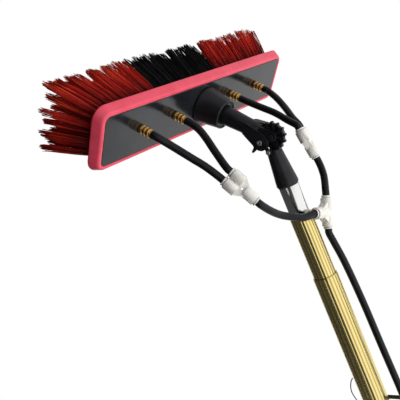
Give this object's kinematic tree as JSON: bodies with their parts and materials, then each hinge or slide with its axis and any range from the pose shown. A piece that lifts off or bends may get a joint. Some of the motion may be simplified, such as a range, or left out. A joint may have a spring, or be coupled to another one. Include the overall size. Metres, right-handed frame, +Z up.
{
  "type": "water-fed window cleaning pole with brush",
  "caption": "Telescopic water-fed pole with a wide tilting flared brush, water jets fed by push-fit hoses, a ratchet joint and a supply hose with tap connector.",
  "frame": {"origin": "centre of the butt cap's flat underside, where the pole stands on the floor", "axes": "+Z up along the pole; the brush head leans towards +Y and its long side runs along X; -Y is the side the hose runs down"},
  "size_m": [0.359, 0.3661, 1.2809],
  "materials": {
    "block_gloss": "high gloss",
    "bumper_rubber": "soft satin",
    "bristle_red": "nylon filaments",
    "bristle_black": "nylon filaments",
    "brass": "turned",
    "black_plastic": "moulded satin",
    "bolt_steel": "zinc plated",
    "silver": "bright",
    "gold": "gold anodised, fluted",
    "grip_rubber": "matte",
    "white_plastic": "satin",
    "hose_black": "satin"
  },
  "bodies": {
    "pole_outer": {"outer_tube": "gold", "grip": "grip_rubber", "butt_cap": "black_plastic", "main_hose": "hose_black", "main_hose_coil": "hose_black", "main_hose_end": "hose_black", "coil_tie_1": "black_plastic", "coil_tie_2": "black_plastic", "coil_tie_3": "black_plastic", "tap_connector_body": "black_plastic", "hose_tie": "black_plastic"},
    "pole_inner": {"inner_tube": "gold", "lock_plug": "black_plastic", "silver_tube": "silver", "sleeve": "black_plastic", "ratchet_wheel": "black_plastic", "side_strip": "black_plastic", "strip_bolt": "bolt_steel", "tee_connector": "white_plastic"},
    "lock_collar": {"lock_collar": "white_plastic"},
    "head": {"brush_block": "block_gloss", "bumper": "bumper_rubber", "bristles_left": "bristle_red", "bristles_centre": "bristle_black", "bristles_right": "bristle_red", "barb_fitting_1": "brass", "barb_fitting_2": "brass", "barb_fitting_3": "brass", "barb_fitting_4": "brass", "jet_nozzle_1": "brass", "jet_nozzle_2": "brass", "jet_nozzle_3": "brass", "jet_nozzle_4": "brass", "hub_socket": "black_plastic", "hub_bolt": "bolt_steel", "neck_arm": "black_plastic", "pivot_bolt": "black_plastic", "pivot_nut": "bolt_steel", "trigger_bolt": "bolt_steel", "branch_hose_1": "hose_black", "branch_hose_2": "hose_black", "branch_hose_3": "hose_black", "branch_hose_4": "hose_black", "y_connector_left": "white_plastic", "y_connector_right": "white_plastic", "link_hose_left": "hose_black", "link_hose_right": "hose_black"},
    "trigger": {"trigger": "black_plastic"},
    "tap_collar": {"tap_connector_collar": "bolt_steel"},
    "collet_left_in_1": {"collet_left_in_1": "white_plastic"},
    "collet_left_in_2": {"collet_left_in_2": "white_plastic"},
    "collet_left_out": {"collet_left_out": "white_plastic"},
    "collet_right_in_1": {"collet_right_in_1": "white_plastic"},
    "collet_right_in_2": {"collet_right_in_2": "white_plastic"},
    "collet_right_out": {"collet_right_out": "white_plastic"},
    "collet_tee_top": {"collet_tee_top": "white_plastic"},
    "collet_tee_bottom": {"collet_tee_bottom": "white_plastic"},
    "collet_tee_branch": {"collet_tee_branch": "white_plastic"}
  },
  "joints": [
    {"name": "pole_slide", "type": "slide", "parent": "pole_outer", "child": "pole_inner", "axis": [0, 0, 1], "range_m": [0, 0.75], "deforming": ["main_hose"]},
    {"name": "lock_twist", "type": "hinge", "parent": "pole_inner", "child": "lock_collar", "pos_m": [0, 0, 0.09], "axis": [0, 0, 1], "range_deg": [-60, 0]},
    {"name": "head_tilt", "type": "hinge", "parent": "pole_inner", "child": "head", "pos_m": [0, -0.006, 1.1489], "axis": [1, 0, 0], "range_deg": [-6, 42], "deforming": ["link_hose_left", "link_hose_right"]},
    {"name": "trigger_pull", "type": "hinge", "parent": "head", "child": "trigger", "pos_m": [-0.0044, 0.0071, 1.1473], "axis": [1, 0, 0], "range_deg": [0, 12], "stiffness_Nm_per_rad": 0.3},
    {"name": "tap_collar_slide", "type": "slide", "parent": "pole_outer", "child": "tap_collar", "axis": [1, 0, 0], "range_m": [0, 0.005], "stiffness_N_per_m": 200},
    {"name": "collet_left_in_1_press", "type": "slide", "parent": "head", "child": "collet_left_in_1", "axis": [0.2093, -0.4081, -0.8886], "range_m": [0, 0.0008]},
    {"name": "collet_left_in_2_press", "type": "slide", "parent": "head", "child": "collet_left_in_2", "axis": [0.2093, -0.4081, -0.8886], "range_m": [0, 0.0008]},
    {"name": "collet_left_out_press", "type": "slide", "parent": "head", "child": "collet_left_out", "axis": [-0.2093, 0.4081, 0.8886], "range_m": [0, 0.0008]},
    {"name": "collet_right_in_1_press", "type": "slide", "parent": "head", "child": "collet_right_in_1", "axis": [-0.0243, -0.1644, -0.9861], "range_m": [0, 0.0008]},
    {"name": "collet_right_in_2_press", "type": "slide", "parent": "head", "child": "collet_right_in_2", "axis": [-0.0243, -0.1644, -0.9861], "range_m": [0, 0.0008]},
    {"name": "collet_right_out_press", "type": "slide", "parent": "head", "child": "collet_right_out", "axis": [0.0243, 0.1644, 0.9861], "range_m": [0, 0.0008]},
    {"name": "collet_tee_top_press", "type": "slide", "parent": "pole_inner", "child": "collet_tee_top", "axis": [-0.3029, 0.1612, -0.9393], "range_m": [0, 0.0008]},
    {"name": "collet_tee_bottom_press", "type": "slide", "parent": "pole_inner", "child": "collet_tee_bottom", "axis": [0.3029, -0.1612, 0.9393], "range_m": [0, 0.0008]},
    {"name": "collet_tee_branch_press", "type": "slide", "parent": "pole_inner", "child": "collet_tee_branch", "axis": [0.9523, 0.014, -0.3047], "range_m": [0, 0.0008]}
  ]
}
